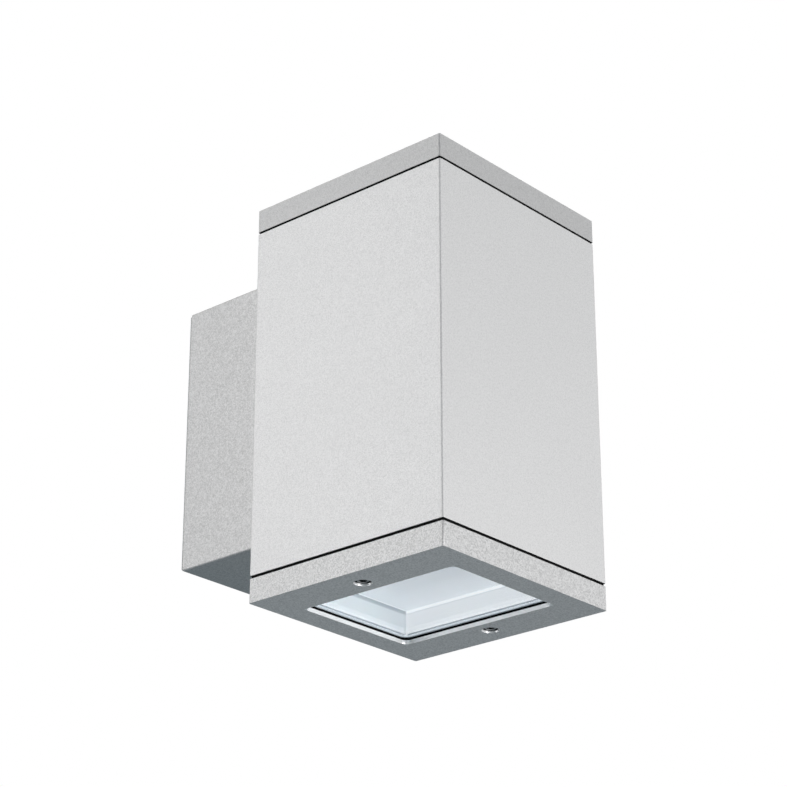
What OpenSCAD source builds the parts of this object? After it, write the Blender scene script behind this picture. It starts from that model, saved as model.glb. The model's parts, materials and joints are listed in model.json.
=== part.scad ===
// Square outdoor wall lantern. A hollow wall box carries a square body tube, which
// shines downwards through a glass window held in a removable bottom frame.
// Millimetres. +Z is up, the wall is the plane Y = 0 and the lantern stands out
// towards -Y. The origin is the centre of the wall plate's fixing holes.

/* [Body] */
// Width and depth of the square body tube
body_w = 100; // [100:1:110]
// Height of the lantern over both end pieces
body_h = 173.5; // [170:0.5:190]
// Wall thickness of the body tube
tube_wall = 3; // [2.5:0.5:3]
// Height of the top cap and of the bottom frame
end_h = 10.1; // [10:0.1:12]
// Height of the dark seam under the top cap
cap_seam_h = 1; // [0.8:0.1:1.2]
// Height of the dark seam above the bottom frame
frame_seam_h = 1.2; // [0.8:0.1:1.4]
// How far the gaskets sit back from the faces
seam_inset = 0.5; // [0.3:0.1:1]
// Radius of the upright corners of the body and the wall box
corner_r = 0.8; // [0.6:0.1:1.5]

/* [Wall box] */
// Width of the wall box
box_w = 78; // [76:1:90]
// Height of the wall box
box_h = 117; // [116:1:128]
// Distance from the wall to the back of the body tube
box_d = 51; // [50:1:60]
// Wall thickness of the wall box
box_wall = 3; // [2.5:0.5:3]
// Thickness of the foam seal against the wall
wall_seal_t = 1; // [0.8:0.1:1.2]
// Thickness of the gasket between the wall box and the body tube
box_gasket_t = 0.8; // [0.6:0.1:1]

/* [Wall plate] */
// Thickness of the wall plate's sheet steel
plate_t = 2; // [1.5:0.5:2]
// Width of the wall plate
plate_w = 70; // [66:1:70]
// Height of the wall plate over its bent flanges
plate_h = 102; // [98:1:102]
// Depth of the bent flanges
flange_d = 14; // [12:1:16]
// Distance between the wall screw holes, across
wall_hole_x = 50; // [46:1:52]
// Distance between the wall screw holes, up and down
wall_hole_z = 80; // [72:1:82]
// Radius of the wall screw holes
wall_hole_r = 2.75; // [2.25:0.25:3]
// Radius of the hole for the supply cable
cable_hole_r = 12; // [8:1:14]

/* [Window] */
// Width of the window opening
window_w = 61; // [58:0.5:61]
// Length of the window opening, from the front towards the wall
window_l = 77; // [70:0.5:77]
// Corner radius of the window opening
window_r = 3; // [2:0.5:3.5]
// Height of the lip under the glass
lip_h = 1.75; // [1.5:0.25:2]
// Width of the lip under the glass at its long edges
lip_w = 3.5; // [3:0.25:3.5]
// Width of the lip under the glass at its short edges, where the clips are
lip_l = 4.25; // [4.25:0.25:4.5]
// Thickness of the glass
glass_t = 3; // [3:0.5:4]
// Thickness of the gasket under the glass
glass_gasket_t = 1; // [0.8:0.1:1]

/* [Screws] */
// Distance of each end screw from the middle of the body
screw_x = 38.5; // [38.5:0.25:40]
// Length of the end screws under the head
screw_len = 22; // [18:1:26]
// Depth of the screw heads below the face
head_depth = 0.9; // [0.4:0.1:1.4]

/* [Light source] */
// LEDs across the board
led_columns = 3; // [2:1:4]
// LEDs along the board
led_rows = 4; // [2:1:5]
// Fins on the heat sink
fin_count = 9; // [5:1:11]

/* [Hidden] */
$fn = 48;
// how far a cut reaches past the face it opens
cut = 1;
// play of a thread, drawn as a running fit, and of a gasket or washer in its seat
thread_play = 0.05;
seal_play = 0.05;
// gap between a screw's tip and what is behind it
tip_gap = 0.2;

// metric screws: shank, tapped hole, clearance hole, head, six-lobed recess
m4_r = 2;
m4_tapped_r = m4_r + thread_play;
m4_clear_r = 2.25;
m4_head_r = 3.5;
m4_head_h = 4;
m4_recess_r = 1.95;
m4_nut_r = 7 / sqrt(3);
m4_nut_h = 3.2;
grub_recess_r = 1.2;
m3_r = 1.5;
m3_tapped_r = m3_r + thread_play;
m3_clear_r = 1.7;
m3_head_r = 2.75;
m3_head_h = 2.2;
m3_recess_r = 1.5;
end_head_h = 3;
end_counterbore_r = 3.65;
head_chamfer = 0.4;
recess_depth = 1.5;
recess_core = 0.72;
recess_lobe = 0.27;

// body
body_y = -(box_d + body_w / 2);
tube_z = end_h + frame_seam_h;
tube_h = body_h - tube_z - end_h - cap_seam_h;
inner_w = body_w - 2 * tube_wall;
channel_r = 3.8;
rib_w = 5;
cap_top_t = 4;
gasket_edge = 0.8;
gasket_bar = 7;
gasket_hole_r = 2.2;

// wall box
box_front = box_d - box_gasket_t;
box_floor = box_front - box_wall;
box_gasket_w = 6;
seal_clear = 0.2;
box_screw_x = 25;
box_screw_z = 40;
lock_y = 8;
lock_boss_r = 5;
lock_boss_h = 4.2;
lock_len = 7;

// glass and its frame, heights above the bottom face
glass_z = lip_h + glass_gasket_t;
glass_top = glass_z + glass_t;
pocket_w = window_w + 2 * lip_w;
pocket_l = window_l + 2 * lip_l;
glass_play = 0.5;
glass_gasket_edge = 0.15;
clip_x = 20;
clip_y = pocket_l / 2 + 1.6;
clip_w = 12;
clip_l = 6.2;
clip_t = 0.8;
clip_overlap = 1.4;
clip_mid = (pocket_l + clip_l) / 2 - glass_play - clip_overlap;
clip_pocket_w = 14;
clip_pocket_l = 8;
clip_pocket_y = clip_y - 0.6;
clip_screw_r = 1.25;
clip_screw_head_r = 2;
clip_screw_head_h = 1.2;
clip_screw_depth = 3.5;
retainer_t = 0.8;
retainer_r = 3.2;

// diffuser
diffuser_z = glass_top + 0.35;
diffuser_ceiling = 16.55;
diffuser_wall = 1.2;
diffuser_top = 18.35;
diffuser_fold_r = 1.8;
rim_w = 2;
rim_h = 1;
rebate_h = 0.7;
rebate_w = 0.4;
ear_z = tube_z + 0.5;
ear_t = 1.5;
ear_w = 58;
ear_screw_head_r = 2.3;
ear_screw_head_h = 0.9;
ear_screw_len = 8;
spacer_x = 24;
spacer_y = inner_w / 2 - 3.4;
spacer_r = 2.4;
spacer_bore = 10;

// chassis and light source
chassis_t = 2;
chassis_w = 62;
shelf_z = 32;
shelf_front = inner_w / 2 - 1;
chassis_top = 150;
board_w = 46;
board_l = 60;
board_r = 2;
board_t = 1.6;
pad_t = 0.6;
board_z = shelf_z - pad_t - board_t;
board_screw_x = 19;
board_screw_y = 26;
board_screw_bite = 2.5;
sink_w = 60;
sink_l = 64;
sink_base = 4;
sink_bore = 3;
sink_h = 18;
fin_t = 1.5;
led_size = 3;
led_h = 0.8;
led_span_x = 22;
led_span_y = 36;
wire_hole_x = 10.5;
wire_hole_y = 38;
wire_hole_r = 3;

// driver
driver_w = 40;
driver_d = 24;
driver_r = 2;
driver_z = 98;
driver_h = 44;
driver_back = inner_w / 2 - chassis_t;
driver_ear_w = 36;
driver_ear_h = 8;
driver_ear_t = 2;
driver_screw_x = 14;
driver_screw_z = driver_z + driver_h + driver_ear_h / 2;
driver_rib_w = 32;
driver_rib_h = 6;
driver_rib_t = 0.6;
driver_rib_pitch = 11;

// cable gland
gland_r = 7.6;
gland_hole_r = 7.9;
gland_nut_r = 11;
gland_nut_h = 4;
gland_flange_h = 5;
gland_bore_r = 5;
gland_end = 62;
collar_r = 7;
collar_end = 36;
cap_r = 10;
cap_end = 33;
cap_gap = 0.5;
gland_seal_l = 8;
cable_r = 3;

// terminal block, on the floor of the wall box
block_z = -30;
block_w = 34;
block_l = 18;
block_h = 16;
block_base = 5;
block_play = 0.1;
pole_pitch = 11;
tower_w = 9.2;
tower_hole_r = 2.4;
clamp_size = 6;
clamp_l = 16;
clamp_bore_r = 1.8;
clamp_screw_z = 4.5;
clamp_screw_y = 13.5;
clamp_screw_len = 3.6;
clamp_screw_head_r = 2.2;
clamp_screw_head_h = 1.6;
block_screw_x = pole_pitch / 2;
block_screw_r = 1;
block_head_r = 1.9;
block_head_h = 1.4;
earth_x = 24;
earth_z = -14;
earth_head_h = 2.4;
lug_t = 0.8;
lug_r = 4;
lug_tail_w = 3;
lug_tail_end = 7.5;
lug_tail_l = 5;

// wires, each route starting at the terminal block or the driver
wire_r = 1.1;
led_wire_r = 0.7;
live_route = [[-11, -39.2, -20.9], [-11, -38, -16], [-9, -29, -10], [-5, -22, -3],
              [-2, -25, 0], [-1.7, -33, 0], [-1.7, -45, 0], [-1.7, -60, 0],
              [-5, -66, 2], [-7, -68, 6], [-7, -68, 11.1]];
neutral_route = [[0, -39.2, -20.9], [0, -37.5, -17], [0, -29.5, -12.5], [1, -21, -5],
                 [1.5, -24.5, 0], [1.7, -33, 0], [1.7, -45, 0], [1.7, -60, 0],
                 [0, -66, 2], [-2, -68, 6], [-2, -68, 11.1]];
earth_route = [[11, -39.2, -20.9], [11.5, -38, -17], [13, -38.5, -14.5], [14.5, -43, -14],
               [17, -45.1, -14], [19, -45.1, -14]];
led_route = [[6, -72, 11.1], [6, -71, 4], [9, -66, -10], [12, -63.5, -24], [12, -63, -40],
             [12, -63, -50], [12, -65, -57], [12, -71, -58.2], [12, -74, -58.2]];
led_wire_gap = 3;
wire_sides = 8;
wire_steps = 4;

// ---- places -------------------------------------------------------------------

// origin at the centre of the body's bottom face
module at_body() {
    translate([0, body_y, -body_h / 2]) children();
}

// a copy at each corner of a rectangle
module at_corners(x, y) {
    for (sx = [-1, 1], sy = [-1, 1]) translate([sx * x, sy * y, 0]) children();
}

// a copy on the left and on the right
module on_both_sides(x) {
    for (s = [-1, 1]) translate([s * x, 0, 0]) children();
}

// Z becomes -Y, away from the wall, starting at the given depth
module from_wall(depth) {
    translate([0, -depth, 0]) rotate([90, 0, 0]) children();
}

// the places of the box screws on the back of the body, whose middle is at half height
module at_box_screws() {
    for (sx = [-1, 1], sz = [-1, 1])
        translate([sx * box_screw_x, 0, body_h / 2 + sz * box_screw_z]) children();
}

// ---- shapes that repeat --------------------------------------------------------

// hole along +Z through a wall that stands on Z = 0
module hole(r, thickness) {
    translate([0, 0, -cut]) cylinder(r = r, h = thickness + 2 * cut);
}

// the same along Y, through a sheet on the inside of the body's back wall
module back_hole(r, depth, thickness) {
    translate([0, depth + cut, 0]) rotate([90, 0, 0]) cylinder(r = r, h = thickness + 2 * cut);
}

module rounded_rect(w, l, r) {
    square([w - 2 * r, l], center = true);
    square([w, l - 2 * r], center = true);
    at_corners(w / 2 - r, l / 2 - r) circle(r = r);
}

module rounded_ring(w, l, r, inner_width, inner_length, inner_r) {
    difference() {
        rounded_rect(w, l, r);
        rounded_rect(inner_width, inner_length, inner_r);
    }
}

// six-lobed recess for a driver bit, going up from Z = 0
module recess(r) {
    lobe_r = r * recess_lobe;
    translate([0, 0, -cut]) linear_extrude(recess_depth + cut) {
        circle(r = r * recess_core, $fn = 24);
        for (a = [0:60:300]) rotate(a) translate([r - lobe_r, 0]) circle(r = lobe_r, $fn = 16);
    }
}

// socket-head screw along +Z, the outer face of its head at zero
module socket_screw(shank_r, head_r, head_h, recess_r, length) {
    difference() {
        union() {
            cylinder(r1 = head_r - head_chamfer, r2 = head_r, h = head_chamfer);
            translate([0, 0, head_chamfer]) cylinder(r = head_r, h = head_h - head_chamfer);
            translate([0, 0, head_h]) cylinder(r = shank_r, h = length);
        }
        recess(recess_r);
    }
}

module m4_screw(length) {
    socket_screw(m4_r, m4_head_r, m4_head_h, m4_recess_r, length);
}

module m3_screw(length) {
    socket_screw(m3_r, m3_head_r, m3_head_h, m3_recess_r, length);
}

// screw that holds an end piece on
module end_screw() {
    socket_screw(m3_r, m3_head_r, end_head_h, m3_recess_r, screw_len);
}

// slotted screw along +Z, the outer face of its head at zero
module slotted_screw(shank_r, head_r, head_h, length) {
    slot_w = head_r / 4;
    difference() {
        union() {
            cylinder(r = head_r, h = head_h);
            translate([0, 0, head_h]) cylinder(r = shank_r, h = length);
        }
        translate([-head_r - cut, -slot_w / 2, -cut])
            cube([2 * (head_r + cut), slot_w, cut + head_h / 2]);
    }
}

// headless screw along +Z with its recess at zero
module grub_screw(length) {
    difference() {
        cylinder(r = m4_r, h = length);
        recess(grub_recess_r);
    }
}

module hex_nut(outer_r, bore_r, height) {
    difference() {
        cylinder(r = outer_r, h = height, $fn = 6);
        hole(bore_r, height);
    }
}

// end gasket: a ring with a wider bar on each side, drilled for the end screws
module end_gasket(height) {
    outer = body_w - 2 * seam_inset;
    linear_extrude(height - seal_play) difference() {
        rounded_ring(outer, outer, corner_r, 2 * screw_x - gasket_bar,
                     inner_w - 2 * gasket_edge, window_r);
        on_both_sides(screw_x) circle(r = gasket_hole_r);
    }
}

// counterbored hole for an end screw, from its face upwards
module end_screw_hole() {
    translate([0, 0, -cut]) cylinder(r = end_counterbore_r, h = head_depth + end_head_h + cut);
    hole(m3_clear_r, end_h);
}

// ---- wires ---------------------------------------------------------------------

function blend(a, b, c, d, t) =
    0.5 * (2 * b + (c - a) * t + (2 * a - 5 * b + 4 * c - d) * t * t
           + (3 * b - a - 3 * c + d) * t * t * t);

function smooth(route) = let (last = len(route) - 1) concat(
    [for (i = [0:last - 1], k = [0:wire_steps - 1])
        blend(route[max(i - 1, 0)], route[i], route[i + 1], route[min(i + 2, last)],
              k / wire_steps)],
    [route[last]]);

function unit(v) = v / norm(v);

// first side vector, then each one is the last one made square to the new direction
function sides_along(dirs, i = 0, side = [1, 0, 0]) =
    let (s = unit(side - dirs[i] * (side * dirs[i])))
    i == len(dirs) - 1 ? [s] : concat([s], sides_along(dirs, i + 1, s));

module wire(route, r) {
    path = smooth(route);
    last = len(path) - 1;
    dirs = [for (i = [0:last]) unit(path[min(i + 1, last)] - path[max(i - 1, 0)])];
    side = sides_along(dirs);
    points = [for (i = [0:last], k = [0:wire_sides - 1])
        let (a = 360 * k / wire_sides)
        path[i] + r * (cos(a) * side[i] + sin(a) * cross(dirs[i], side[i]))];
    walls = [for (i = [0:last - 1], k = [0:wire_sides - 1])
        let (n = (k + 1) % wire_sides, b = i * wire_sides, t = b + wire_sides)
        [b + k, t + k, t + n, b + n]];
    start = [for (k = [0:wire_sides - 1]) k];
    end = [for (k = [wire_sides - 1:-1:0]) last * wire_sides + k];
    polyhedron(points, concat([start], walls, [end]), convexity = 6);
}

// ---- wall mount ----------------------------------------------------------------

// sheet steel plate with its top and bottom edges bent away from the wall
module wall_plate() {
    color("gainsboro") difference() {
        union() {
            from_wall(0) linear_extrude(plate_t) square([plate_w, plate_h], center = true);
            for (s = [-1, 1]) translate([0, 0, s * (plate_h - plate_t) / 2])
                from_wall(0) linear_extrude(flange_d)
                    square([plate_w, plate_t], center = true);
        }
        from_wall(0) {
            at_corners(wall_hole_x / 2, wall_hole_z / 2) hole(wall_hole_r, plate_t);
            hole(cable_hole_r, plate_t);
        }
    }
}

// ---- wall box and its wiring ---------------------------------------------------

module wall_seal() {
    outer = 2 * seam_inset;
    inner = 2 * (box_wall - seal_clear);
    color("dimgray") from_wall(0) linear_extrude(wall_seal_t)
        rounded_ring(box_w - outer, box_h - outer, corner_r,
                     box_w - inner, box_h - inner, corner_r);
}

// boss for a lock screw, on the inside of the top or the bottom wall
module lock_boss(side) {
    translate([0, -lock_y - wall_seal_t, side * (box_h / 2 - box_wall)])
        rotate([90 + 90 * side, 0, 0]) translate([0, 0, -cut])
            cylinder(r = lock_boss_r, h = lock_boss_h + cut);
}

module wall_box() {
    color("silver") difference() {
        union() {
            from_wall(wall_seal_t) linear_extrude(box_front - wall_seal_t)
                rounded_ring(box_w, box_h, corner_r,
                             box_w - 2 * box_wall, box_h - 2 * box_wall, corner_r);
            from_wall(box_floor) linear_extrude(box_wall)
                square([box_w - box_wall, box_h - box_wall], center = true);
            lock_boss(1);
            lock_boss(-1);
        }
        translate([0, -lock_y - wall_seal_t, -box_h / 2]) hole(m4_tapped_r, box_h);
        from_wall(box_floor) {
            at_corners(box_screw_x, box_screw_z) hole(m4_clear_r, box_wall);
            hole(gland_hole_r, box_wall);
            translate([earth_x, earth_z, 0]) hole(m4_tapped_r, box_wall);
            on_both_sides(block_screw_x) translate([0, block_z, 0])
                hole(block_screw_r + thread_play, box_wall);
        }
    }
}

module lock_screw(side) {
    tip = plate_h / 2 + tip_gap;
    color("lightsteelblue") translate([0, -lock_y - wall_seal_t, side * (tip + lock_len)])
        rotate([90 + 90 * side, 0, 0]) grub_screw(lock_len);
}

module lock_screw_top() {
    lock_screw(1);
}

module lock_screw_bottom() {
    lock_screw(-1);
}

module box_gasket() {
    outer = 2 * seam_inset;
    inner = 2 * box_gasket_w;
    color("black") from_wall(box_front) linear_extrude(box_gasket_t)
        rounded_ring(box_w - outer, box_h - outer, corner_r,
                     box_w - inner, box_h - inner, corner_r);
}

// screws from inside the wall box into nuts inside the body
module box_screws() {
    clamped = box_wall + box_gasket_t + tube_wall + chassis_t;
    color("lightsteelblue") from_wall(box_floor - m4_head_h)
        at_corners(box_screw_x, box_screw_z) m4_screw(clamped + m4_nut_h + cut);
}

module box_nuts() {
    color("lightsteelblue") from_wall(box_d + tube_wall + chassis_t)
        at_corners(box_screw_x, box_screw_z) hex_nut(m4_nut_r, m4_tapped_r, m4_nut_h);
}

module gland_body() {
    color("dimgray") difference() {
        union() {
            from_wall(box_floor - gland_flange_h)
                cylinder(r = gland_nut_r, h = gland_flange_h, $fn = 6);
            from_wall(collar_end) cylinder(r = collar_r, h = box_floor - collar_end);
            from_wall(box_floor - cut) cylinder(r = gland_r, h = gland_end - box_floor + cut);
        }
        from_wall(collar_end) hole(gland_bore_r, gland_end - collar_end);
    }
}

module gland_nut() {
    color("dimgray") from_wall(box_d + tube_wall + chassis_t)
        hex_nut(gland_nut_r, gland_r + thread_play, gland_nut_h);
}

module gland_cap() {
    cap_l = box_floor - gland_flange_h - cap_gap - cap_end;
    color("dimgray") from_wall(cap_end) difference() {
        cylinder(r = cap_r, h = cap_l, $fn = 6);
        hole(gland_bore_r, cap_l);
        translate([0, 0, collar_end - cap_end - cap_gap])
            cylinder(r = collar_r + thread_play, h = cap_l);
    }
}

module gland_seal() {
    color("black") from_wall(collar_end) difference() {
        cylinder(r = gland_bore_r - seal_play, h = gland_seal_l);
        hole(cable_r, gland_seal_l);
    }
}

// three-pole terminal block with towers open on top and a wire way through each pole
module terminal_block() {
    way = clamp_size + 2 * block_play;
    color("ivory") translate([0, -box_floor, block_z]) difference() {
        union() {
            translate([-block_w / 2, 0, -block_l / 2]) cube([block_w, block_base, block_l]);
            for (i = [-1:1]) translate([i * pole_pitch - tower_w / 2, 0, -block_l / 2])
                cube([tower_w, block_h, block_l]);
        }
        for (i = [-1:1]) translate([i * pole_pitch, block_base, 0]) {
            translate([-way / 2, -block_play, -block_l]) cube([way, way, 2 * block_l]);
            for (s = [-1, 1]) translate([0, 0, s * clamp_screw_z]) rotate([-90, 0, 0])
                cylinder(r = tower_hole_r, h = block_h);
        }
        on_both_sides(block_screw_x) rotate([-90, 0, 0]) {
            translate([0, 0, block_base]) cylinder(r = block_head_r + block_play, h = block_h);
            hole(block_screw_r + block_play, block_base);
        }
    }
}

module terminal_clamps() {
    color("goldenrod") for (i = [-1:1])
        translate([i * pole_pitch, block_base - box_floor, block_z]) difference() {
            translate([-clamp_size / 2, 0, -clamp_l / 2]) cube([clamp_size, clamp_size, clamp_l]);
            translate([0, clamp_size / 2, -clamp_l / 2]) hole(clamp_bore_r, clamp_l);
            for (s = [-1, 1]) translate([0, clamp_size / 2, s * clamp_screw_z])
                rotate([-90, 0, 0]) cylinder(r = m3_tapped_r, h = clamp_size);
        }
}

module terminal_screws() {
    color("lightsteelblue") for (i = [-1:1], s = [-1, 1])
        translate([i * pole_pitch, clamp_screw_y - box_floor, block_z + s * clamp_screw_z])
            rotate([90, 0, 0])
                slotted_screw(m3_r, clamp_screw_head_r, clamp_screw_head_h, clamp_screw_len);
}

module block_screws() {
    color("lightsteelblue") on_both_sides(block_screw_x)
        translate([0, block_base + block_head_h - box_floor, block_z]) rotate([90, 0, 0])
            slotted_screw(block_screw_r, block_head_r, block_head_h,
                          block_base + box_wall - tip_gap);
}

module earth_screw() {
    color("lightsteelblue") translate([earth_x, 0, earth_z])
        from_wall(box_floor - lug_t - earth_head_h)
            slotted_screw(m4_r, m4_head_r, earth_head_h, lug_t + box_wall - tip_gap);
}

// ring terminal with a short crimp that holds the end of the earth wire
module earth_lug() {
    color("goldenrod") translate([earth_x, 0, earth_z]) from_wall(box_floor - lug_t)
        difference() {
            union() {
                cylinder(r = lug_r, h = lug_t);
                translate([-lug_tail_end, -lug_tail_w / 2, 0])
                    cube([lug_tail_l, lug_tail_w, lug_t]);
            }
            hole(m4_tapped_r, lug_t);
        }
}

module live_wire() {
    color("saddlebrown") wire(live_route, wire_r);
}

module neutral_wire() {
    color("royalblue") wire(neutral_route, wire_r);
}

module earth_wire() {
    color("limegreen") wire(earth_route, wire_r);
}

// ---- body ----------------------------------------------------------------------

// square extrusion with a drilled screw channel on a rib inside each side
module tube_outline() {
    wall_middle = (body_w - tube_wall) / 2;
    difference() {
        union() {
            rounded_ring(body_w, body_w, corner_r, inner_w, inner_w, corner_r);
            on_both_sides(screw_x) circle(r = channel_r);
            on_both_sides((screw_x + wall_middle) / 2)
                square([wall_middle - screw_x, rib_w], center = true);
        }
        on_both_sides(screw_x) circle(r = m3_tapped_r);
    }
}

module body_tube() {
    color("silver") at_body() difference() {
        translate([0, 0, tube_z]) linear_extrude(tube_h) tube_outline();
        at_box_screws() back_hole(m4_clear_r, body_w / 2, tube_wall);
        translate([0, 0, body_h / 2]) back_hole(gland_hole_r, body_w / 2, tube_wall);
    }
}

// bent sheet: its back leg is clamped by the box screws, its shelf carries the LEDs
module chassis() {
    back = inner_w / 2;
    color("lightgray") at_body() difference() {
        translate([-chassis_w / 2, 0, shelf_z]) {
            translate([0, back - chassis_t, 0])
                cube([chassis_w, chassis_t, chassis_top - shelf_z]);
            translate([0, -shelf_front, 0]) cube([chassis_w, shelf_front + back, chassis_t]);
        }
        at_box_screws() back_hole(m4_clear_r, back, chassis_t);
        translate([0, 0, body_h / 2]) back_hole(gland_hole_r, back, chassis_t);
        on_both_sides(driver_screw_x) translate([0, 0, driver_screw_z])
            back_hole(m3_tapped_r, back, chassis_t);
        translate([0, 0, shelf_z]) {
            at_corners(board_screw_x, board_screw_y) hole(m3_clear_r, chassis_t);
            at_corners(spacer_x, spacer_y) hole(m3_tapped_r, chassis_t);
            translate([wire_hole_x, wire_hole_y, 0]) hole(wire_hole_r, chassis_t);
        }
    }
}

// potted case with a screw ear above it and raised ribs on its front
module driver_case() {
    color("white") at_body() difference() {
        translate([0, driver_back, driver_z]) {
            rotate([90, 0, 0]) linear_extrude(driver_d) translate([0, driver_h / 2])
                rounded_rect(driver_w, driver_h, driver_r);
            translate([-driver_ear_w / 2, -driver_ear_t, driver_h - cut])
                cube([driver_ear_w, driver_ear_t, driver_ear_h]);
            for (i = [-1:1])
                translate([-driver_rib_w / 2, -driver_d - driver_rib_t,
                           (driver_h - driver_rib_h) / 2 + i * driver_rib_pitch])
                    cube([driver_rib_w, 2 * driver_rib_t, driver_rib_h]);
        }
        on_both_sides(driver_screw_x) translate([0, 0, driver_screw_z])
            back_hole(m3_clear_r, driver_back, driver_ear_t);
    }
}

module driver_screws() {
    head_face = driver_back - driver_ear_t - m3_head_h;
    color("lightsteelblue") at_body() on_both_sides(driver_screw_x)
        translate([0, head_face, driver_screw_z]) rotate([-90, 0, 0])
            m3_screw(driver_ear_t + chassis_t - tip_gap);
}

module led_wire_red() {
    color("firebrick") wire(led_route, led_wire_r);
}

module led_wire_black() {
    color("black") translate([-led_wire_gap, 0, 0]) wire(led_route, led_wire_r);
}

// base plate with upright fins
module heat_sink() {
    pitch = (sink_w - fin_t) / (fin_count - 1);
    color("darkgray") at_body() translate([0, 0, shelf_z + chassis_t]) difference() {
        translate([-sink_w / 2, -sink_l / 2, 0]) {
            cube([sink_w, sink_l, sink_base]);
            for (i = [0:fin_count - 1]) translate([i * pitch, 0, 0])
                cube([fin_t, sink_l, sink_h]);
        }
        translate([0, 0, -cut]) at_corners(board_screw_x, board_screw_y)
            cylinder(r = m3_tapped_r, h = sink_bore + cut);
    }
}

module thermal_pad() {
    color("slategray") at_body() translate([0, 0, shelf_z - pad_t]) difference() {
        translate([-board_w / 2, -board_l / 2, 0]) cube([board_w, board_l, pad_t]);
        at_corners(board_screw_x, board_screw_y) hole(m3_clear_r, pad_t);
    }
}

module led_board() {
    color("whitesmoke") at_body() translate([0, 0, board_z]) linear_extrude(board_t)
        difference() {
            rounded_rect(board_w, board_l, board_r);
            at_corners(board_screw_x, board_screw_y) circle(r = m3_clear_r);
        }
}

module leds() {
    pitch_x = led_span_x / max(led_columns - 1, 1);
    pitch_y = led_span_y / max(led_rows - 1, 1);
    first = [-(led_columns - 1) * pitch_x - led_size, -(led_rows - 1) * pitch_y - led_size] / 2;
    color("khaki") at_body() for (i = [0:led_columns - 1], j = [0:led_rows - 1])
        translate([first[0] + i * pitch_x, first[1] + j * pitch_y, board_z - led_h])
            cube([led_size, led_size, led_h]);
}

module board_screws() {
    color("lightsteelblue") at_body() translate([0, 0, board_z - m3_head_h])
        at_corners(board_screw_x, board_screw_y)
            m3_screw(board_t + pad_t + chassis_t + board_screw_bite);
}

// opal tray: upright walls fold into the ceiling and end in a rim with a shallow
// rebate, and an ear on the front and on the back edge hangs it from the spacers
module diffuser() {
    edge = 2 * diffuser_wall;
    rim = 2 * rim_w;
    ear_l = 2 * (spacer_y + spacer_r);
    r = diffuser_fold_r;
    color("white") at_body() difference() {
        union() {
            translate([0, 0, diffuser_z]) linear_extrude(diffuser_top - diffuser_z)
                rounded_rect(window_w + edge, window_l + edge, r + diffuser_wall);
            translate([0, 0, diffuser_z]) linear_extrude(rim_h)
                rounded_rect(window_w + rim, window_l + rim, r + rim_w);
            translate([-ear_w / 2, -ear_l / 2, ear_z]) cube([ear_w, ear_l, ear_t]);
        }
        hull() at_corners(window_w / 2 - r, window_l / 2 - r) {
            translate([0, 0, diffuser_z - cut]) cylinder(r = r, h = cut, $fn = 32);
            translate([0, 0, diffuser_ceiling - r]) sphere(r = r, $fn = 32);
        }
        translate([0, 0, diffuser_z - cut]) linear_extrude(rebate_h + cut)
            rounded_rect(window_w + 2 * rebate_w, window_l + 2 * rebate_w, r + rebate_w);
        translate([0, 0, ear_z]) at_corners(spacer_x, spacer_y) hole(m3_clear_r, ear_t);
    }
}

module diffuser_spacers() {
    foot = ear_z + ear_t;
    color("lightsteelblue") at_body() at_corners(spacer_x, spacer_y) difference() {
        union() {
            translate([0, 0, foot]) cylinder(r = spacer_r, h = shelf_z - foot);
            translate([0, 0, foot]) cylinder(r = m3_r, h = shelf_z + chassis_t - foot);
        }
        translate([0, 0, foot - cut]) cylinder(r = m3_tapped_r, h = spacer_bore + cut);
    }
}

module diffuser_screws() {
    color("lightsteelblue") at_body() at_corners(spacer_x, spacer_y)
        translate([0, 0, ear_z - ear_screw_head_h])
            slotted_screw(m3_r, ear_screw_head_r, ear_screw_head_h, ear_screw_len);
}

module top_gasket() {
    color("black") at_body() translate([0, 0, tube_z + tube_h + seal_play])
        end_gasket(cap_seam_h);
}

module top_cap() {
    color("silver") at_body() translate([0, 0, body_h]) mirror([0, 0, 1]) difference() {
        linear_extrude(end_h) rounded_rect(body_w, body_w, corner_r);
        translate([0, 0, cap_top_t]) linear_extrude(end_h)
            rounded_rect(pocket_w, pocket_l, window_r);
        on_both_sides(screw_x) end_screw_hole();
    }
}

module cap_screw(side) {
    color("lightsteelblue") at_body()
        translate([side * screw_x, 0, body_h - head_depth]) mirror([0, 0, 1]) end_screw();
}

module cap_screw_left() {
    cap_screw(-1);
}

module cap_screw_right() {
    cap_screw(1);
}

// ---- glass frame ---------------------------------------------------------------

// where a clip screw goes in, and the pocket around it
module clip_seat(sx, sy) {
    translate([sx * clip_x - clip_pocket_w / 2, sy * clip_pocket_y - clip_pocket_l / 2,
               glass_top]) cube([clip_pocket_w, clip_pocket_l, end_h]);
    translate([sx * clip_x, sy * clip_y, glass_top - clip_screw_depth - tip_gap])
        cylinder(r = clip_screw_r + thread_play, h = end_h);
}

module bottom_frame() {
    color("silver") at_body() difference() {
        linear_extrude(end_h) rounded_rect(body_w, body_w, corner_r);
        translate([0, 0, -cut]) linear_extrude(end_h + 2 * cut)
            rounded_rect(window_w, window_l, window_r);
        translate([0, 0, lip_h]) linear_extrude(end_h)
            rounded_rect(pocket_w, pocket_l, window_r);
        for (sx = [-1, 1], sy = [-1, 1]) clip_seat(sx, sy);
        on_both_sides(screw_x) {
            end_screw_hole();
            translate([0, 0, end_h - retainer_t])
                cylinder(r = retainer_r + seal_play, h = retainer_t + cut);
        }
    }
}

module frame_gasket() {
    color("black") at_body() translate([0, 0, end_h]) end_gasket(frame_seam_h);
}

module glass_gasket() {
    outer = glass_play;
    inner = 2 * glass_gasket_edge;
    color("black") at_body() translate([0, 0, lip_h]) linear_extrude(glass_gasket_t)
        rounded_ring(pocket_w - outer, pocket_l - outer, window_r,
                     window_w + inner, window_l + inner, window_r);
}

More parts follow.
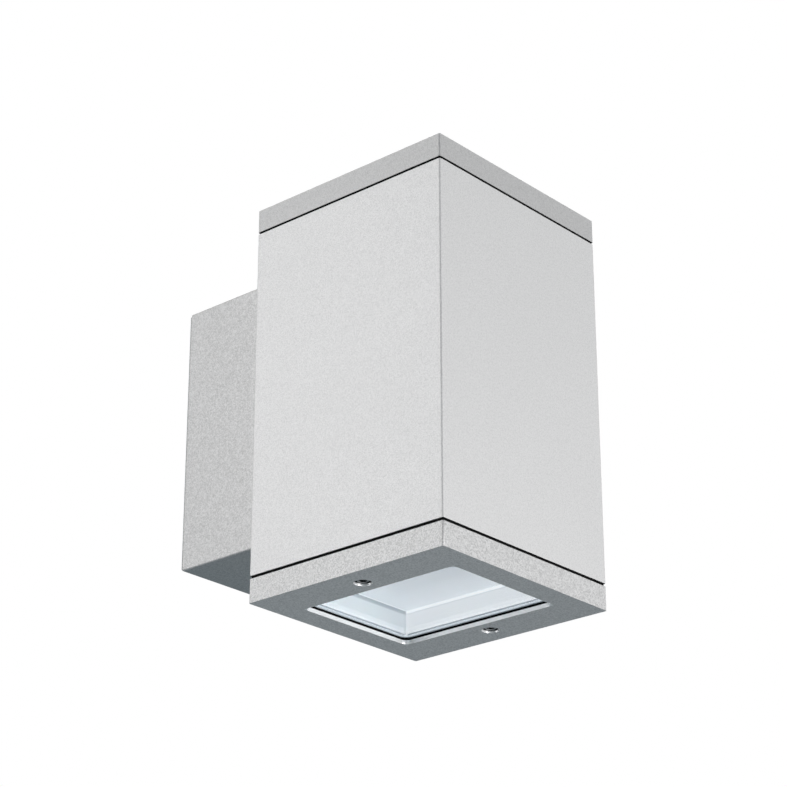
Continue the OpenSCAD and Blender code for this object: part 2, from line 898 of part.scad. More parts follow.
module window_glass() {
    color("lightcyan") at_body() translate([0, 0, glass_z]) linear_extrude(glass_t)
        rounded_rect(pocket_w - 2 * glass_play, pocket_l - 2 * glass_play, window_r);
}

// spring-steel tabs that hold the glass down on its gasket
module glass_clips() {
    color("gainsboro") at_body() for (sx = [-1, 1], sy = [-1, 1])
        translate([sx * clip_x, 0, glass_top]) difference() {
            translate([-clip_w / 2, sy * clip_mid - clip_l / 2, 0])
                cube([clip_w, clip_l, clip_t]);
            translate([0, sy * clip_y, 0]) hole(clip_screw_r + block_play, clip_t);
        }
}

module clip_screws() {
    color("lightsteelblue") at_body() for (sx = [-1, 1], sy = [-1, 1])
        translate([sx * clip_x, sy * clip_y, glass_top + clip_t + clip_screw_head_h])
            mirror([0, 0, 1]) slotted_screw(clip_screw_r, clip_screw_head_r,
                                            clip_screw_head_h, clip_t + clip_screw_depth);
}

// nylon washers that keep the frame screws in the frame
module screw_retainers() {
    color("white") at_body() on_both_sides(screw_x) translate([0, 0, end_h - retainer_t])
        difference() {
            cylinder(r = retainer_r, h = retainer_t);
            hole(m3_tapped_r, retainer_t);
        }
}

module frame_screw(side) {
    color("lightsteelblue") at_body() translate([side * screw_x, 0, head_depth]) end_screw();
}

module frame_screw_left() {
    frame_screw(-1);
}

module frame_screw_right() {
    frame_screw(1);
}

// ---- drawing -------------------------------------------------------------------

wall_plate();
wall_seal();
wall_box();
lock_screw_top();
lock_screw_bottom();
box_gasket();
box_screws();
box_nuts();
gland_body();
gland_nut();
gland_cap();
gland_seal();
terminal_block();
terminal_clamps();
terminal_screws();
block_screws();
earth_screw();
earth_lug();
live_wire();
neutral_wire();
earth_wire();
body_tube();
chassis();
driver_case();
driver_screws();
led_wire_red();
led_wire_black();
heat_sink();
thermal_pad();
led_board();
leds();
board_screws();
diffuser();
diffuser_spacers();
diffuser_screws();
top_gasket();
top_cap();
cap_screw_left();
cap_screw_right();
bottom_frame();
frame_gasket();
glass_gasket();
window_glass();
glass_clips();
clip_screws();
screw_retainers();
frame_screw_left();
frame_screw_right();
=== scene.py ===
"""The looks of a square outdoor wall lantern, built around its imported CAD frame.

Metres, +Z up, the wall is the plane Y = 0 and the lantern stands out towards -Y.
"""

import json
import math

import bmesh
import bpy
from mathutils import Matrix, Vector


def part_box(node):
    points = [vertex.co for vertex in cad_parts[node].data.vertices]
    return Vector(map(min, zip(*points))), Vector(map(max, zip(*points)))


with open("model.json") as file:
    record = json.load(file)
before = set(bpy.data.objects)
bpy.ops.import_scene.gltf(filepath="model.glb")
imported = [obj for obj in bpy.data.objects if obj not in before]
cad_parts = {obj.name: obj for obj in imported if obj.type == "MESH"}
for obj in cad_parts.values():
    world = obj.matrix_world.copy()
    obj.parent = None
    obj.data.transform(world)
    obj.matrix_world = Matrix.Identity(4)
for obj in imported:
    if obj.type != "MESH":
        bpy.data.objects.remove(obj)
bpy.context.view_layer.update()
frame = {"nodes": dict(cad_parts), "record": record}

MM = 0.001

# ---- measures of the CAD, for placing the shades of a material -------------------

# radius of the holes that the end screws' heads sit in
COUNTERBORE_R = 3.65 * MM
# radius of a head's recess, and how far in from the end face its painted shade reaches
RECESS_R = 1.5 * MM
RECESS_FLOOR = 2.45 * MM
# the window, and the wider pocket above its lip, as half sizes
WINDOW_HALF = Vector((30.5, 38.5)) * MM
POCKET_HALF = Vector((34.0, 42.75)) * MM
# height of the bottom seam, the taller of the two
SEAM_H = 1.2 * MM
# the tray's roof, and the round fold between its ceiling and its walls
TRAY_ROOF = 1.8 * MM
FOLD_R = 1.8 * MM

# distances over which one shade turns into the next: in from the body's outline, out
# past the ends of a seam, out from the edge of a cut, up from the frame's lower face, and
# in from the body's end faces
SEAM_INSET = (0.15 * MM, 0.25 * MM)
SEAM_BLEND = (0.02 * MM, 0.05 * MM)
CUT_BLEND = (0.04 * MM, 0.16 * MM)
FACE_BLEND = (0.3 * MM, 0.4 * MM)
BORE_SHADE_DEPTH = (0.9 * MM, 1.1 * MM)

frame_low, frame_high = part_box("bottom_frame")
glass_low, glass_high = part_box("window_glass")
tray_low, tray_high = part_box("diffuser")
screw_low, screw_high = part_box("frame_screw_right")
tube_low, tube_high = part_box("body_tube")
body_centre = (frame_low + frame_high) / 2
body_half = (frame_high - frame_low) / 2
body_half_height = -frame_low.z
screw_x = (screw_low.x + screw_high.x) / 2
tray_ceiling = tray_high.z - TRAY_ROOF


# ---- shader building blocks ------------------------------------------------------


class Shader:
    """One node material: a Principled shader and the procedural nodes that feed it."""

    def __init__(self, name, **sockets):
        self.material = bpy.data.materials.new(name)
        self.material.use_nodes = True
        self.tree = self.material.node_tree
        self.bsdf = self.tree.nodes["Principled BSDF"]
        self.coords = self.node("ShaderNodeTexCoord").outputs["Object"]
        for key, value in sockets.items():
            self.bsdf.inputs[key.replace("_", " ")].default_value = value

    def node(self, kind, **settings):
        """Adds a node and sets its properties."""
        made = self.tree.nodes.new(kind)
        for key, value in settings.items():
            setattr(made, key, value)
        return made

    def feed(self, node, socket, value):
        """Links a socket to another, or sets it to a plain value."""
        if isinstance(value, bpy.types.NodeSocket):
            self.tree.links.new(value, node.inputs[socket])
        else:
            node.inputs[socket].default_value = value

    def drive(self, socket, value):
        """Feeds a socket of the Principled shader."""
        self.feed(self.bsdf, socket, value)

    def base_colour(self):
        """What already feeds the base colour, for a layer on top."""
        return self.bsdf.inputs["Base Color"].links[0].from_socket

    def stretched(self, scale):
        """Object coordinates scaled by a different factor along each axis."""
        mapping = self.node("ShaderNodeMapping")
        self.feed(mapping, "Vector", self.coords)
        self.feed(mapping, "Scale", scale)
        return mapping.outputs["Vector"]

    def noise(self, size, detail=2.0, roughness=0.5, coords=None):
        """Noise whose features are about size metres across, as a factor."""
        made = self.node("ShaderNodeTexNoise")
        self.feed(made, "Vector", coords or self.coords)
        self.feed(made, "Scale", 1.0 / size)
        self.feed(made, "Detail", detail)
        self.feed(made, "Roughness", roughness)
        return made.outputs["Fac"]

    def cells(self, size):
        """A random level for each Voronoi cell, about size metres across."""
        made = self.node("ShaderNodeTexVoronoi")
        self.feed(made, "Vector", self.coords)
        self.feed(made, "Scale", 1.0 / size)
        level = self.node("ShaderNodeSeparateColor")
        self.feed(level, "Color", made.outputs["Color"])
        return level.outputs[0]

    def ramp(self, factor, *stops):
        """Colour ramp; each stop is (position, colour)."""
        made = self.node("ShaderNodeValToRGB")
        elements = made.color_ramp.elements
        while len(elements) < len(stops):
            elements.new(0.5)
        for element, (position, colour) in zip(elements, stops):
            element.position = position
            element.color = (*colour, 1.0)
        self.feed(made, "Fac", factor)
        return made.outputs["Color"]

    def spread(self, factor, low, high, start=0.0, end=1.0):
        """Maps a value from start..end to low..high, clamped."""
        made = self.node("ShaderNodeMapRange")
        self.feed(made, "Value", factor)
        self.feed(made, "From Min", start)
        self.feed(made, "From Max", end)
        self.feed(made, "To Min", low)
        self.feed(made, "To Max", high)
        return made.outputs["Result"]

    def math(self, operation, a, b=0.0):
        """The result of a Math node."""
        made = self.node("ShaderNodeMath", operation=operation)
        self.feed(made, 0, a)
        self.feed(made, 1, b)
        return made.outputs["Value"]

    def mix(self, factor, a, b):
        """Colour a where the factor is 0, colour b where it is 1."""
        made = self.node("ShaderNodeMix", data_type="RGBA")
        self.feed(made, "Factor", factor)
        for socket, value in ((made.inputs[6], a), (made.inputs[7], b)):
            if isinstance(value, bpy.types.NodeSocket):
                self.tree.links.new(value, socket)
            else:
                socket.default_value = (*value, 1.0)
        return made.outputs[2]

    def axes(self):
        """The object coordinates as three sockets."""
        made = self.node("ShaderNodeSeparateXYZ")
        self.feed(made, "Vector", self.coords)
        return made.outputs[0], made.outputs[1], made.outputs[2]

    def bump(self, height, depth, strength):
        """Bump of the given depth in metres, fed to the shader."""
        made = self.node("ShaderNodeBump")
        self.feed(made, "Height", height)
        self.feed(made, "Distance", depth)
        self.feed(made, "Strength", strength)
        self.drive("Normal", made.outputs["Normal"])


def grey(level, tint=(1.0, 1.0, 1.0)):
    """A grey of the given level, or a tint multiplied by it."""
    return tuple(level * t for t in tint)


def outside_shaft(shader, half, centre):
    """How far a point lies outside an upright rectangular shaft, negative inside it."""
    x, y, _ = shader.axes()
    dx = shader.math("ABSOLUTE", shader.math("SUBTRACT", x, centre.x))
    dy = shader.math("ABSOLUTE", shader.math("SUBTRACT", y, centre.y))
    return shader.math("MAXIMUM", shader.math("SUBTRACT", dx, half.x),
                       shader.math("SUBTRACT", dy, half.y))


def in_seam(shader):
    """1 on the hidden walls of the two seams at the ends of the tube, 0 elsewhere."""
    z = shader.axes()[2]
    beyond = shader.math("MAXIMUM", shader.math("SUBTRACT", z, tube_high.z),
                         shader.math("SUBTRACT", tube_low.z, z))
    inside = shader.spread(outside_shaft(shader, body_half, body_centre), 1.0, 0.0,
                           -SEAM_INSET[1], -SEAM_INSET[0])
    past_tube = shader.spread(beyond, 0.0, 1.0, -SEAM_BLEND[1], -SEAM_BLEND[0])
    before_end = shader.spread(beyond, 1.0, 0.0, SEAM_H + SEAM_BLEND[0],
                               SEAM_H + SEAM_BLEND[1])
    return shader.math("MULTIPLY", inside, shader.math("MULTIPLY", past_tube, before_end))


def screw_radius(shader):
    """How far a point lies from the axis of the nearest end screw."""
    x, y, _ = shader.axes()
    dx = shader.math("SUBTRACT", shader.math("ABSOLUTE", x), screw_x)
    dy = shader.math("SUBTRACT", y, body_centre.y)
    return shader.math("SQRT", shader.math("ADD", shader.math("MULTIPLY", dx, dx),
                                           shader.math("MULTIPLY", dy, dy)))


def depth_from_end(shader):
    """How far in a point lies from the nearer end face of the body."""
    z = shader.axes()[2]
    return shader.math("SUBTRACT", body_half_height, shader.math("ABSOLUTE", z))


# ---- materials -------------------------------------------------------------------

COAT_TINT = (1.0, 0.98, 0.972)
CLOUD_SIZE = 45 * MM
# colours of the painted shade inside the seams and deep in the bores, and in the screws'
# recesses
SEAM_AND_BORE_PAINTED_SHADE = (0.01, 0.01, 0.01)
RECESS_PAINTED_SHADE = (0.004, 0.004, 0.005)

# glow of the tray, partly the lit lamp and partly painted light, by where on it
CEILING_GLOW = (0.48, 0.495, 0.525)
SIDE_WALL_GLOW = (0.56, 0.55, 0.555)
END_WALL_SHADED_GLOW = (0.24, 0.245, 0.26)
FOLD_PAINTED_HIGHLIGHT = (0.92, 0.93, 0.94)
END_FOLD_PAINTED_SHADE = (0.0, 0.01, 0.03)
SIDE_FOLD_PAINTED_SHADE = (0.36, 0.38, 0.4)
REBATE_PAINTED_SHADE = (0.1, 0.13, 0.16)
RIM_PAINTED_LIGHT = (0.85, 0.93, 1.0)


def powder_coat(name, level, grain, contrast):
    """Metallic powder coat: fine flakes, a slight orange peel and soft clouds.

    The walls inside the two seams are painted nearly black, as painted shade.
    """
    s = Shader(name, Metallic=0.3, IOR=1.5)
    speckle = s.math("ADD", s.math("MULTIPLY", s.cells(grain), 0.5),
                     s.math("MULTIPLY", s.noise(grain * 2.2, 3.0, 0.6), 0.5))
    tone = s.ramp(speckle,
                  (0.22, grey(level * (1 - 1.3 * contrast), COAT_TINT)),
                  (0.5, grey(level, COAT_TINT)),
                  (0.78, grey(level * (1 + contrast), COAT_TINT)))
    cloudy = s.spread(s.noise(CLOUD_SIZE), 0.0, 0.1, 0.35, 0.65)
    coat = s.mix(cloudy, tone, grey(level * 0.9, COAT_TINT))
    # painted shade: the walls inside the seams are mixed to near black
    s.drive("Base Color", s.mix(in_seam(s), coat, SEAM_AND_BORE_PAINTED_SHADE))
    s.drive("Roughness", s.spread(speckle, 0.6, 0.48, 0.25, 0.75))
    s.bump(s.noise(grain * 1.6), 0.05 * MM, 0.5)
    return s


def end_coat(name, level, grain, contrast, window=False):
    """The coat of the end pieces: bare metal in the cut openings, painted shade deep in the
    bores.
    """
    s = powder_coat(name, level, grain, contrast)
    cut = s.math("SUBTRACT", screw_radius(s), COUNTERBORE_R)
    if window:
        cut = s.math("MINIMUM", cut, outside_shaft(s, WINDOW_HALF, body_centre))
    bare = s.spread(cut, 1.0, 0.0, *CUT_BLEND)
    if window:
        in_pocket = s.spread(outside_shaft(s, POCKET_HALF, body_centre), 1.0, 0.0, *CUT_BLEND)
        above_face = s.spread(s.axes()[2], 0.0, 1.0, frame_low.z + FACE_BLEND[0],
                              frame_low.z + FACE_BLEND[1])
        bare = s.math("MAXIMUM", bare, s.math("MULTIPLY", in_pocket, above_face))
    in_bore = s.spread(screw_radius(s), 1.0, 0.0, COUNTERBORE_R + CUT_BLEND[0],
                       COUNTERBORE_R + CUT_BLEND[1])
    # painted shade: the bore walls deeper than about 1 mm go near black
    bore_shade = s.math("MULTIPLY", in_bore, s.spread(depth_from_end(s), 0.0, 1.0, *BORE_SHADE_DEPTH))
    streaks = s.noise(0.5 * MM, coords=s.stretched((1.0, 1.0, 6.0)))
    metal = s.ramp(streaks, (0.3, grey(0.84)), (0.7, grey(0.95)))
    s.drive("Base Color", s.mix(bore_shade, s.mix(bare, s.base_colour(), metal), SEAM_AND_BORE_PAINTED_SHADE))
    s.drive("Roughness", s.spread(bare, 0.54, 0.3))
    return s


def rubber(name, level, grain):
    """Dull rubber or foam with a little dust in its pores."""
    s = Shader(name, IOR=1.5, Specular_IOR_Level=0.05)
    pores = s.noise(grain, 3.0, 0.6)
    s.drive("Base Color", s.ramp(pores, (0.35, grey(level)), (0.75, grey(level * 2.2))))
    s.drive("Roughness", s.spread(pores, 0.6, 0.8))
    s.bump(pores, 0.05 * MM, 0.6)
    return s


def clear_glass(name):
    """Clear glass whose edge is green-blue, with faint polishing marks.

    Light passes straight through it to what is behind.
    """
    s = Shader(name, Transmission_Weight=1.0, IOR=1.5)
    half = (glass_high - glass_low) / 2
    centre = (glass_high + glass_low) / 2
    edge = s.spread(outside_shaft(s, half, centre), 0.0, 1.0, -0.9 * MM, -0.1 * MM)
    s.drive("Base Color", s.mix(edge, (0.97, 0.985, 0.985), (0.6, 0.8, 0.84)))
    marks = s.noise(6 * MM)
    s.drive("Roughness", s.spread(marks, 0.0, 0.01, 0.5, 0.8))
    see_through = s.node("ShaderNodeBsdfTransparent")
    s.feed(see_through, "Color", (0.9, 0.93, 0.93, 1.0))
    either = s.node("ShaderNodeMixShader")
    s.feed(either, "Fac", s.node("ShaderNodeLightPath").outputs["Is Shadow Ray"])
    s.feed(either, 1, s.bsdf.outputs["BSDF"])
    s.feed(either, 2, see_through.outputs["BSDF"])
    s.feed(s.tree.nodes["Material Output"], "Surface", either.outputs["Shader"])
    return s


def opal(name):
    """Milky moulded plastic lit from behind.

    Its ceiling and walls glow, partly as the lit lamp and partly as painted light: less on
    the end walls as painted shade, a line of painted shade and one of painted highlight along
    each fold, painted shade in the rebate under the walls and painted light on the rim.
    """
    s = Shader(name, IOR=1.49, Emission_Strength=1.0, Subsurface_Weight=0.1,
               Subsurface_Scale=2 * MM)
    x, y, z = s.axes()
    across = s.math("SUBTRACT", s.math("ABSOLUTE", x), WINDOW_HALF.x)
    along = s.math("SUBTRACT", s.math("ABSOLUTE", s.math("SUBTRACT", y, body_centre.y)),
                   WINDOW_HALF.y)
    round_fold = s.spread(z, 0.0, 1.0, tray_ceiling - FOLD_R, tray_ceiling)
    # painted shade, then a painted highlight, along the folds of the side walls
    side_fold = s.ramp(round_fold,
                       (0.0, SIDE_WALL_GLOW), (0.15, SIDE_WALL_GLOW), (0.3, SIDE_FOLD_PAINTED_SHADE),
                       (0.5, FOLD_PAINTED_HIGHLIGHT), (0.85, FOLD_PAINTED_HIGHLIGHT),
                       (0.97, CEILING_GLOW), (1.0, CEILING_GLOW))
    # painted shade, then a painted highlight, along the folds of the end walls
    end_fold = s.ramp(round_fold,
                      (0.0, END_WALL_SHADED_GLOW), (0.1, END_WALL_SHADED_GLOW),
                      (0.25, END_FOLD_PAINTED_SHADE), (0.82, END_FOLD_PAINTED_SHADE), (0.9, FOLD_PAINTED_HIGHLIGHT),
                      (0.98, CEILING_GLOW), (1.0, CEILING_GLOW))
    # the end walls glow less than the side walls, as painted shade
    glow = s.mix(s.math("GREATER_THAN", across, along), end_fold, side_fold)
    recessed = s.spread(outside_shaft(s, WINDOW_HALF, body_centre), 0.0, 1.0,
                        0.1 * MM, 0.25 * MM)
    # painted shade in the rebate under the walls
    glow = s.mix(recessed, glow, REBATE_PAINTED_SHADE)
    low = s.spread(z, 1.0, 0.0, tray_low.z + 0.1 * MM, tray_low.z + 0.2 * MM)
    # painted light on the tray's lower rim
    glow = s.mix(low, glow, RIM_PAINTED_LIGHT)
    cloud = s.noise(22 * MM)
    # the glow is partly painted light, with a little random variation
    s.drive("Emission Color", s.mix(s.spread(cloud, 0.0, 0.12, 0.35, 0.65), glow,
                                    grey(0.85, CEILING_GLOW)))
    milk = s.ramp(cloud, (0.3, (0.66, 0.7, 0.73)), (0.7, (0.7, 0.73, 0.75)))
    # the base colour is darker in the rebate too, as painted shade
    s.drive("Base Color", s.mix(recessed, milk, (0.25, 0.29, 0.33)))
    s.drive("Roughness", s.spread(s.noise(1 * MM), 0.2, 0.3))
    return s


def turned_steel(name, level=0.58):
    """Stainless steel with fine turning marks."""
    s = Shader(name, Metallic=1.0)
    marks = s.noise(0.12 * MM, coords=s.stretched((1.0, 1.0, 4.0)))
    s.drive("Base Color", s.ramp(marks, (0.3, grey(level * 0.85)), (0.7, grey(level * 1.1))))
    s.drive("Roughness", s.spread(marks, 0.22, 0.38))
    s.bump(marks, 0.01 * MM, 0.4)
    return s


def end_screw(name):
    """Stainless screw whose recess is painted dark, as painted shade."""
    s = turned_steel(name, 0.42)
    in_recess = s.spread(screw_radius(s), 1.0, 0.0, RECESS_R, RECESS_R + 0.1 * MM)
    above_floor = s.spread(depth_from_end(s), 1.0, 0.0, RECESS_FLOOR,
                           RECESS_FLOOR + 0.05 * MM)
    dark = s.math("MULTIPLY", in_recess, above_floor)
    # painted shade inside the head's recess
    s.drive("Base Color", s.mix(dark, s.base_colour(), RECESS_PAINTED_SHADE))
    return s


def galvanised(name):
    """Zinc spangle on sheet steel."""
    s = Shader(name, Metallic=0.9)
    grit = s.noise(0.6 * MM, 3.0)
    tone = s.math("ADD", s.math("MULTIPLY", s.cells(5 * MM), 0.75),
                  s.math("MULTIPLY", grit, 0.25))
    s.drive("Base Color", s.ramp(tone, (0.15, (0.46, 0.48, 0.5)), (0.85, (0.7, 0.72, 0.74))))
    s.drive("Roughness", s.spread(tone, 0.32, 0.5))
    s.bump(grit, 0.02 * MM, 0.4)
    return s


def rolled_metal(name, level, along, tint=(1.0, 1.0, 1.01), roughness=0.36):
    """Sheet or extruded metal with streaks along one axis, 0 to 2 for X to Z."""
    s = Shader(name, Metallic=1.0)
    squeeze = [1.0, 1.0, 1.0]
    squeeze[along] = 0.04
    streaks = s.noise(0.35 * MM, 3.0, 0.6, coords=s.stretched(tuple(squeeze)))
    s.drive("Base Color", s.ramp(streaks, (0.3, grey(level * 0.86, tint)),
                                 (0.7, grey(level * 1.06, tint))))
    s.drive("Roughness", s.spread(streaks, roughness - 0.07, roughness + 0.1))
    s.bump(streaks, 0.012 * MM, 0.4)
    return s


def moulded(name, colour, grain=0.5 * MM, roughness=0.45):
    """Moulded plastic or rubber with a fine spark-eroded texture."""
    s = Shader(name, IOR=1.5)
    texture = s.noise(grain, 3.0, 0.6)
    low = tuple(c * 0.88 for c in colour)
    high = tuple(min(c * 1.08, 1.0) for c in colour)
    s.drive("Base Color", s.ramp(texture, (0.3, low), (0.7, high)))
    s.drive("Roughness", s.spread(texture, roughness - 0.06, roughness + 0.1))
    s.bump(texture, 0.02 * MM, 0.35)
    return s


def circuit_board(name):
    """White solder mask over copper tracks that show as faint raised lines."""
    s = Shader(name, IOR=1.5, Coat_Weight=0.3)
    tracks = s.node("ShaderNodeTexBrick")
    s.feed(tracks, "Vector", s.coords)
    s.feed(tracks, "Scale", 60.0)
    s.feed(tracks, "Mortar Size", 0.03)
    lines = tracks.outputs["Fac"]
    s.drive("Base Color", s.mix(lines, (0.86, 0.86, 0.83), (0.78, 0.79, 0.74)))
    s.drive("Roughness", s.spread(s.noise(1.5 * MM), 0.25, 0.35))
    s.bump(lines, 0.03 * MM, 0.6)
    return s


def striped_wire(name):
    """Green insulation with slanting yellow stripes, each wave 2.6 mm long in x + y + z."""
    s = moulded(name, (0.1, 0.4, 0.06))
    x, y, z = s.axes()
    wave = s.math("SINE", s.math("MULTIPLY", s.math("ADD", x, s.math("ADD", y, z)), 2400.0))
    stripe = s.spread(wave, 0.0, 1.0, 0.1, 0.3)
    s.drive("Base Color", s.mix(stripe, s.base_colour(), (0.75, 0.62, 0.03)))
    return s


def phosphor(name):
    """Yellow silicone over the LED chips."""
    s = Shader(name, IOR=1.41, Subsurface_Weight=0.2, Subsurface_Scale=0.5 * MM)
    grains = s.noise(0.15 * MM)
    s.drive("Base Color", s.ramp(grains, (0.3, (0.78, 0.6, 0.1)), (0.7, (0.9, 0.76, 0.25))))
    s.drive("Roughness", s.spread(grains, 0.15, 0.3))
    s.bump(grains, 0.01 * MM, 0.3)
    return s


# a material for each of the record's slots, and three for nodes with looks of their own; the
# coats are one paint, made darker on the box, the cap and the end pieces as painted shade
MATERIALS = {
    "coated_body": powder_coat("coated_body", 0.7, 0.34 * MM, 0.09),
    # painted shade: lower levels than the body's coat, for the same paint
    "coated_box_painted_shade": powder_coat("coated_box_painted_shade", 0.57, 0.45 * MM, 0.16),
    "coated_ends": end_coat("coated_ends", 0.62, 0.42 * MM, 0.2, window=True),
    "coated_cap_painted_shade": end_coat("coated_cap_painted_shade", 0.535, 0.34 * MM, 0.12),
    "black_rubber": rubber("black_rubber", 0.003, 0.8 * MM),
    "foam_seal": rubber("foam_seal", 0.3, 0.4 * MM),
    "window_glass": clear_glass("clear_glass"),
    "opal_plastic": opal("opal_plastic"),
    "stainless": turned_steel("stainless"),
    "end_screw": end_screw("end_screw"),
    "zinc_steel": galvanised("zinc_steel"),
    "spring_steel": rolled_metal("spring_steel", 0.5, 0, roughness=0.3),
    "sheet_aluminium": rolled_metal("sheet_aluminium", 0.78, 0),
    "sink_aluminium": rolled_metal("sink_aluminium", 0.62, 1, roughness=0.45),
    "brass": rolled_metal("brass", 0.75, 2, tint=(1.05, 0.78, 0.38), roughness=0.3),
    "grey_nylon": moulded("grey_nylon", (0.05, 0.05, 0.055)),
    "white_nylon": moulded("white_nylon", (0.78, 0.76, 0.68)),
    "white_plastic": moulded("white_plastic", (0.8, 0.8, 0.78), 0.8 * MM, 0.5),
    "solder_mask": circuit_board("solder_mask"),
    "led_phosphor": phosphor("led_phosphor"),
    "thermal_pad": moulded("thermal_pad", (0.22, 0.28, 0.34), 1 * MM, 0.7),
    "wire_brown": moulded("wire_brown", (0.12, 0.045, 0.015)),
    "wire_blue": moulded("wire_blue", (0.02, 0.09, 0.4)),
    "wire_green": striped_wire("wire_green"),
    "wire_red": moulded("wire_red", (0.5, 0.015, 0.015)),
    "wire_black": moulded("wire_black", (0.015, 0.015, 0.015)),
}
# nodes that don't take their slot's material; the box and the cap take darker copies of the
# coat, as painted shade
OWN_MATERIAL = {
    "wall_box": "coated_box_painted_shade", "top_cap": "coated_cap_painted_shade",
    "frame_screw_left": "end_screw", "frame_screw_right": "end_screw",
    "cap_screw_left": "end_screw", "cap_screw_right": "end_screw",
}


# ---- finishing the CAD nodes -----------------------------------------------------

# width of the rounded edges, in millimetres
EDGE_WIDTH = {
    "body_tube": 0.12, "wall_box": 0.2, "top_cap": 0.15, "bottom_frame": 0.15,
    "wall_plate": 0.2, "window_glass": 0.35, "driver_case": 0.5, "heat_sink": 0.15,
    "chassis": 0.2, "terminal_block": 0.25, "led_board": 0.1, "glass_clips": 0.1,
}
# only edges sharper than this are rounded
EDGE_ANGLE = math.radians(35)
# nodes whose wide flat faces have holes in them
AREA_WEIGHTED = {"body_tube", "top_cap", "wall_box"}


def round_edges(node, width, area_weighted):
    """Small rounded edges, as modifiers, so the node's own mesh stays as it is.

    Area-weighted normals keep a wide face with holes in it flat; hardened normals keep
    the small walls of an opening crisp.
    """
    weld = node.modifiers.new("weld", "WELD")
    weld.merge_threshold = 0.001 * MM
    planar = node.modifiers.new("planar", "DECIMATE")
    planar.decimate_type = "DISSOLVE"
    planar.angle_limit = math.radians(1)
    bevel = node.modifiers.new("edges", "BEVEL")
    bevel.width = width
    bevel.segments = 2
    bevel.limit_method = "ANGLE"
    bevel.angle_limit = EDGE_ANGLE
    bevel.harden_normals = not area_weighted
    bevel.use_clamp_overlap = True
    if area_weighted:
        flat = node.modifiers.new("flat_faces", "WEIGHTED_NORMAL")
        flat.weight = 100
        flat.keep_sharp = True


def finish_cad_nodes():
    """Gives every CAD node its material, and the larger ones rounded edges."""
    slots = {s["node"]: s["material_slot"] for s in frame["record"]["subparts"]}
    for name, node in frame["nodes"].items():
        shader = MATERIALS[OWN_MATERIAL.get(name, slots[name])]
        node.data.materials.clear()
        node.data.materials.append(shader.material)
        if name in EDGE_WIDTH:
            round_edges(node, EDGE_WIDTH[name] * MM, name in AREA_WEIGHTED)


finish_cad_nodes()


# ---- stage, lights and camera ----------------------------------------------------

WHITE = (1.0, 1.0, 1.0)
SKY_TINT = (0.86, 1.01, 1.09)
# how bright the backdrop is to the camera, and as a light on the object
BACKDROP_SEEN = 1.0
BACKDROP_LIGHT = 0.155
FLOOR_Z = -1.4
FLOOR_SIZE = 14.0
# extra glow of the floor, which only the camera sees
FLOOR_SEEN = 0.6


def make_floor():
    """A pale floor that looks brighter to the camera than the light it gives off."""
    mesh = bpy.data.meshes.new("floor")
    build = bmesh.new()
    bmesh.ops.create_grid(build, x_segments=1, y_segments=1, size=FLOOR_SIZE / 2)
    build.to_mesh(mesh)
    build.free()
    floor = bpy.data.objects.new("floor", mesh)
    floor.location.z = FLOOR_Z
    bpy.context.collection.objects.link(floor)
    s = Shader("floor", Emission_Color=(0.97, 0.99, 1.0, 1.0))
    s.drive("Base Color", s.ramp(s.noise(0.4), (0.3, grey(0.37, SKY_TINT)),
                                 (0.7, grey(0.4, SKY_TINT))))
    seen = s.node("ShaderNodeLightPath").outputs["Is Camera Ray"]
    s.drive("Emission Strength", s.spread(seen, 0.0, FLOOR_SEEN))
    s.drive("Roughness", s.spread(s.noise(0.05), 0.7, 0.9))
    mesh.materials.append(s.material)


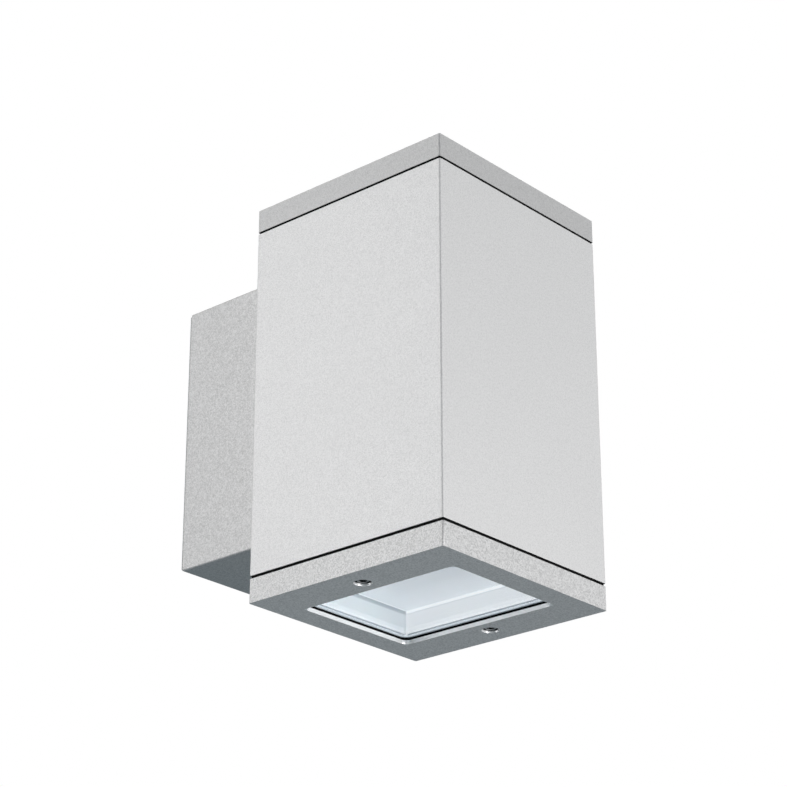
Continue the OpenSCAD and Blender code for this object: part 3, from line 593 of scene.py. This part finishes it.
def make_world():
    """White behind the object, and a dim bluish light from all round."""
    world = bpy.data.worlds.new("studio")
    bpy.context.scene.world = world
    world.use_nodes = True
    tree = world.node_tree
    back = tree.nodes["Background"]
    path = tree.nodes.new("ShaderNodeLightPath")
    hue = tree.nodes.new("ShaderNodeMix")
    hue.data_type = "RGBA"
    hue.inputs[6].default_value = (*SKY_TINT, 1.0)
    hue.inputs[7].default_value = (*WHITE, 1.0)
    tree.links.new(path.outputs["Is Camera Ray"], hue.inputs["Factor"])
    tree.links.new(hue.outputs[2], back.inputs["Color"])
    level = tree.nodes.new("ShaderNodeMapRange")
    level.inputs["To Min"].default_value = BACKDROP_LIGHT
    level.inputs["To Max"].default_value = BACKDROP_SEEN
    tree.links.new(path.outputs["Is Camera Ray"], level.inputs["Value"])
    tree.links.new(level.outputs["Result"], back.inputs["Strength"])


def softbox(name, place, aim, size, power, tint=WHITE):
    """A rectangular light at place, facing aim; power is in watts."""
    light = bpy.data.lights.new(name, "AREA")
    light.color = tint
    light.shape = "RECTANGLE"
    light.size, light.size_y = size
    light.energy = power
    lamp = bpy.data.objects.new(name, light)
    lamp.location = place
    lamp.rotation_mode = "QUATERNION"
    lamp.rotation_quaternion = (Vector(aim) - Vector(place)).to_track_quat("-Z", "Y")
    bpy.context.collection.objects.link(lamp)


# the photo's viewing angle: from the front left, and from below
CAMERA_AZIMUTH = math.radians(-48.62)
CAMERA_ELEVATION = math.radians(-23.78)
CAMERA_DISTANCE = 0.995
CAMERA_AIM = Vector((0.0, -0.0826, 0.0105))
CAMERA_LENS = 109.9
CAMERA_SENSOR = 36.0


def make_camera():
    """Looks at CAMERA_AIM from CAMERA_DISTANCE away, upright and without lens shift."""
    back = Vector((math.sin(CAMERA_AZIMUTH) * math.cos(CAMERA_ELEVATION),
                   -math.cos(CAMERA_AZIMUTH) * math.cos(CAMERA_ELEVATION),
                   math.sin(CAMERA_ELEVATION)))
    data = bpy.data.cameras.new("camera")
    data.lens = CAMERA_LENS
    data.sensor_width = CAMERA_SENSOR
    camera = bpy.data.objects.new("camera", data)
    camera.location = CAMERA_AIM + back * CAMERA_DISTANCE
    camera.rotation_mode = "QUATERNION"
    camera.rotation_quaternion = (-back).to_track_quat("-Z", "Y")
    bpy.context.collection.objects.link(camera)
    bpy.context.scene.camera = camera


make_floor()
make_world()
softbox("left_softbox", (-0.89, 0.44, 0.15), (0, -0.08, 0), (0.5, 1.3), 8.7)
softbox("low_softbox", (0.12, 0.08, -0.42), (0, -0.06, -0.08), (0.25, 0.25), 0.09, SKY_TINT)
softbox("back_softbox", (0.8, 0.7, 1.4), (0, -0.05, 0), (0.9, 0.9), 16)
softbox("front_softbox", (0.3, -1.7, -0.33), (0, -0.1, 0), (1.0, 0.9), 28.3)
make_camera()
bpy.context.scene.view_settings.view_transform = "Standard"
